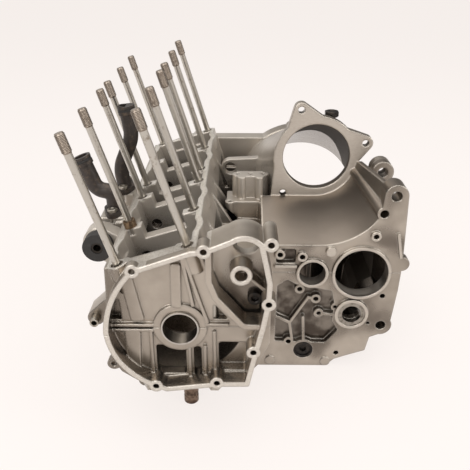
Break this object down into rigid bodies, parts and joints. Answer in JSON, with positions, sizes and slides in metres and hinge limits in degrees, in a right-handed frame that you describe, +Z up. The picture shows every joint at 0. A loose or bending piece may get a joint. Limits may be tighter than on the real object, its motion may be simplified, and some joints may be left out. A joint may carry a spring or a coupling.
{
  "type": "engine crankcase",
  "caption": "Split crankcase of a transverse four cylinder motorcycle engine with gearbox housing, cylinder studs, alternator ring, coolant pipes and frame mounts.",
  "frame": {"origin": "on the crankshaft axis, in the middle of the cam chain tunnel", "axes": "+X from the exhaust side to the gearbox, +Y along the crankshaft from the starter side to the clutch side, +Z up, square to the crankcase joint"},
  "size_m": [0.3889, 0.431, 0.3606],
  "materials": {
    "casting": "satin",
    "stud": "satin",
    "fastener": "satin",
    "dark_fastener": "satin",
    "dowel": "satin",
    "shell": "satin",
    "pipe": "satin",
    "rubber": "matte"
  },
  "bodies": {
    "root": {"upper_crankcase": "casting", "lower_crankcase": "casting", "cylinder_dowel": "dowel", "main_shells_upper": "shell", "main_shells_lower": "shell", "crankcase_bolts": "fastener", "case_dowels": "fastener", "rear_case_bolts": "fastener", "mount_bush": "rubber", "mount_bush_sleeve": "fastener", "coolant_pipe_side": "pipe", "coolant_pipe_centre": "pipe", "pipe_o_rings": "rubber", "pipe_flange_bolts": "fastener", "hose_union": "fastener", "ring_hex_bolt": "dark_fastener", "oil_gallery_plug": "fastener", "gearbox_face_plug": "dark_fastener", "shift_shaft_seal": "rubber", "oil_relief_valve": "dowel", "stud_front_1": "stud", "stud_front_2": "stud", "stud_front_3": "stud", "stud_front_4": "stud", "stud_front_5": "stud", "stud_front_6": "stud", "stud_rear_1": "stud", "stud_rear_2": "stud", "stud_rear_3": "stud", "stud_rear_4": "stud", "stud_rear_5": "stud", "stud_rear_6": "stud"}
  },
  "joints": []
}
